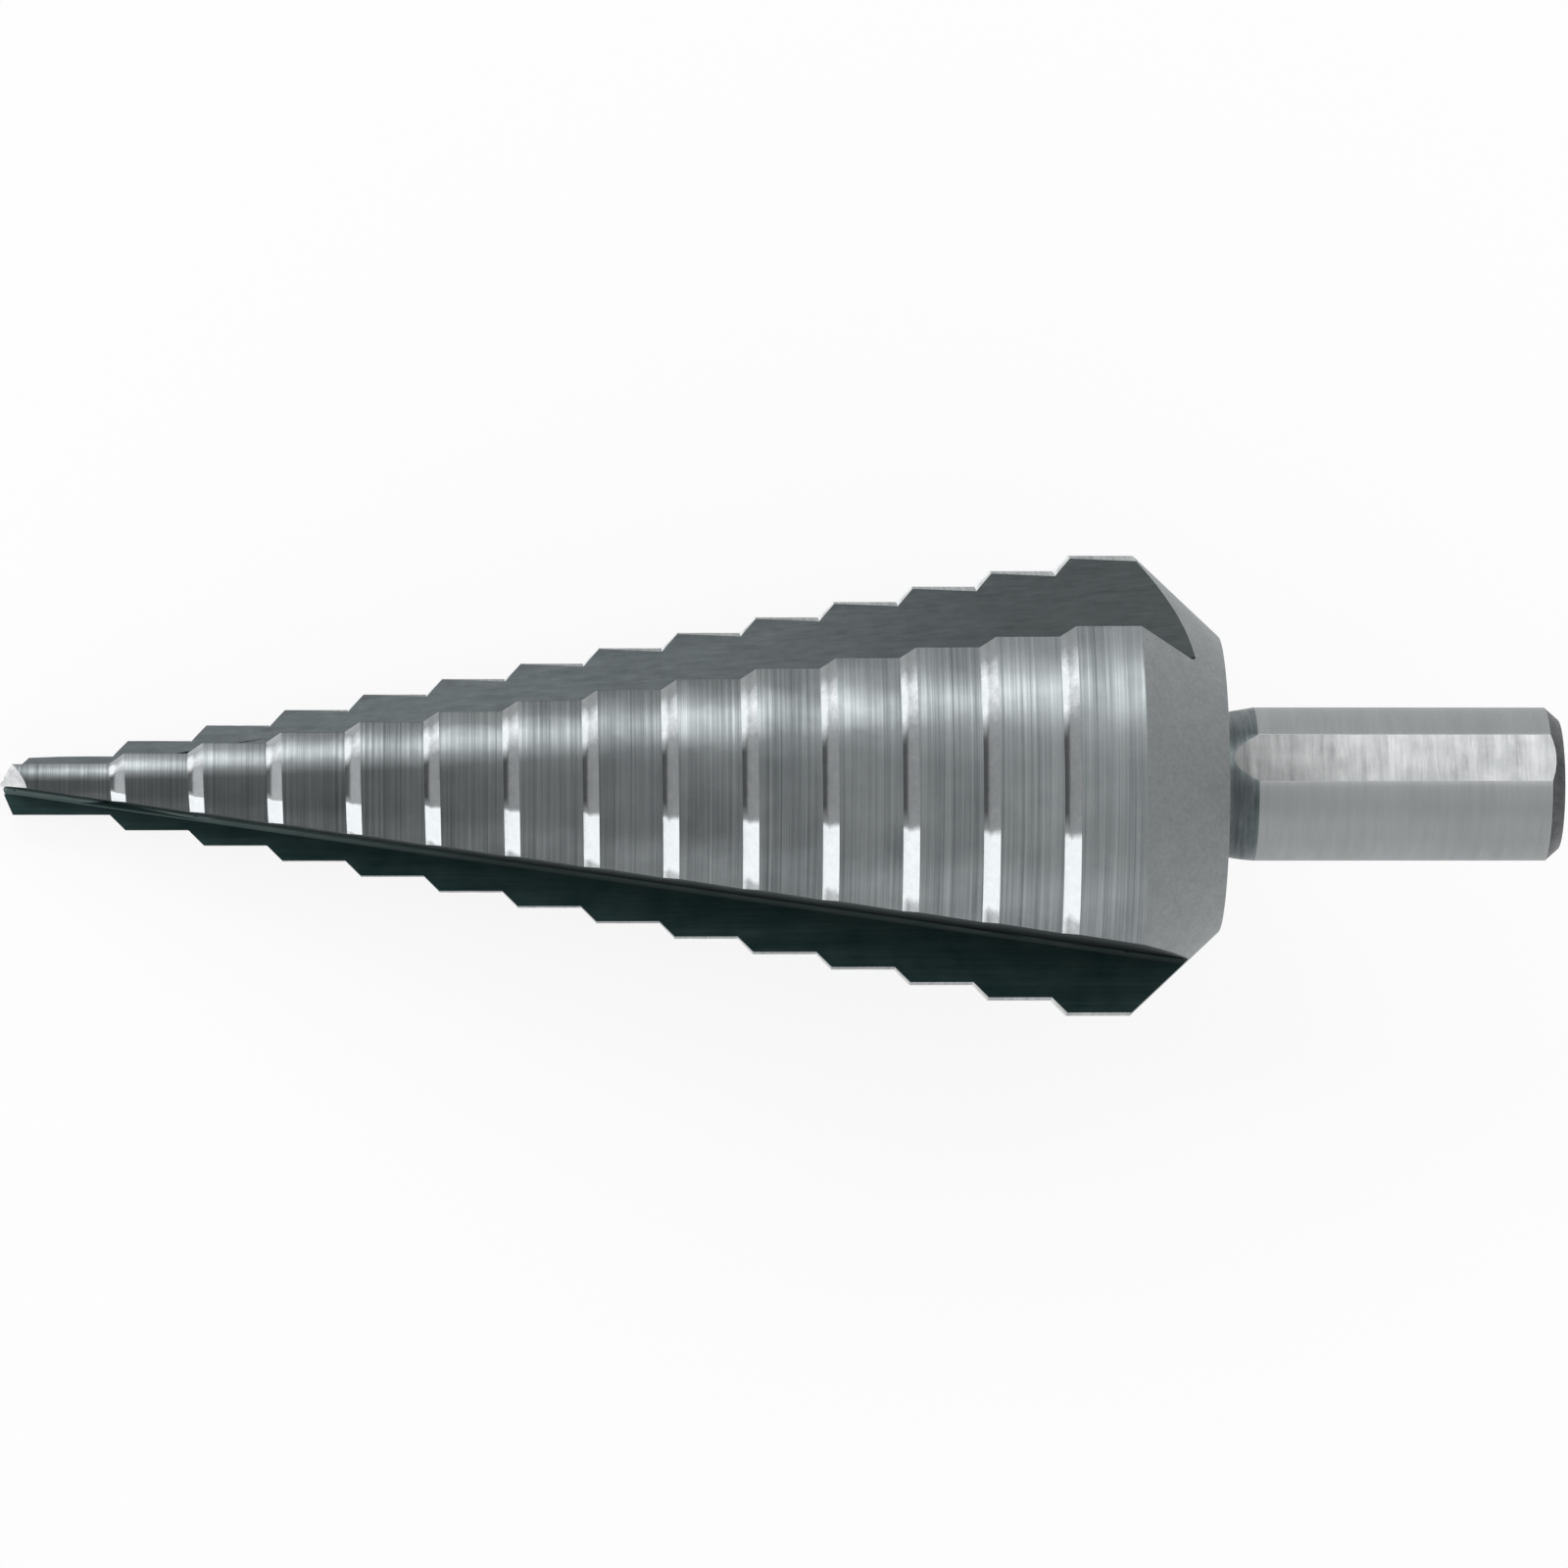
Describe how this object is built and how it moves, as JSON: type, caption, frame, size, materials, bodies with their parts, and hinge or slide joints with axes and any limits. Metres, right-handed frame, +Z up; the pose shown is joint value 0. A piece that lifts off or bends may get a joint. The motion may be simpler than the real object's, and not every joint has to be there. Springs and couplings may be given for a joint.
{
  "type": "step drill",
  "caption": "Stepped cone drill that opens holes in sheet metal to a choice of diameters, with straight flutes and a three-flat shank.",
  "frame": {"origin": "centre of the box's base, on the surface the drill lies on", "axes": "+X from the point towards the shank, +Z up; the drill's own axis rises about 10 degrees towards +X, in the XZ plane"},
  "size_m": [0.0998, 0.0298, 0.0292],
  "materials": {
    "ground_steel": "ground bright high-speed steel"
  },
  "bodies": {
    "root": {"step_drill": "ground_steel"}
  },
  "joints": []
}
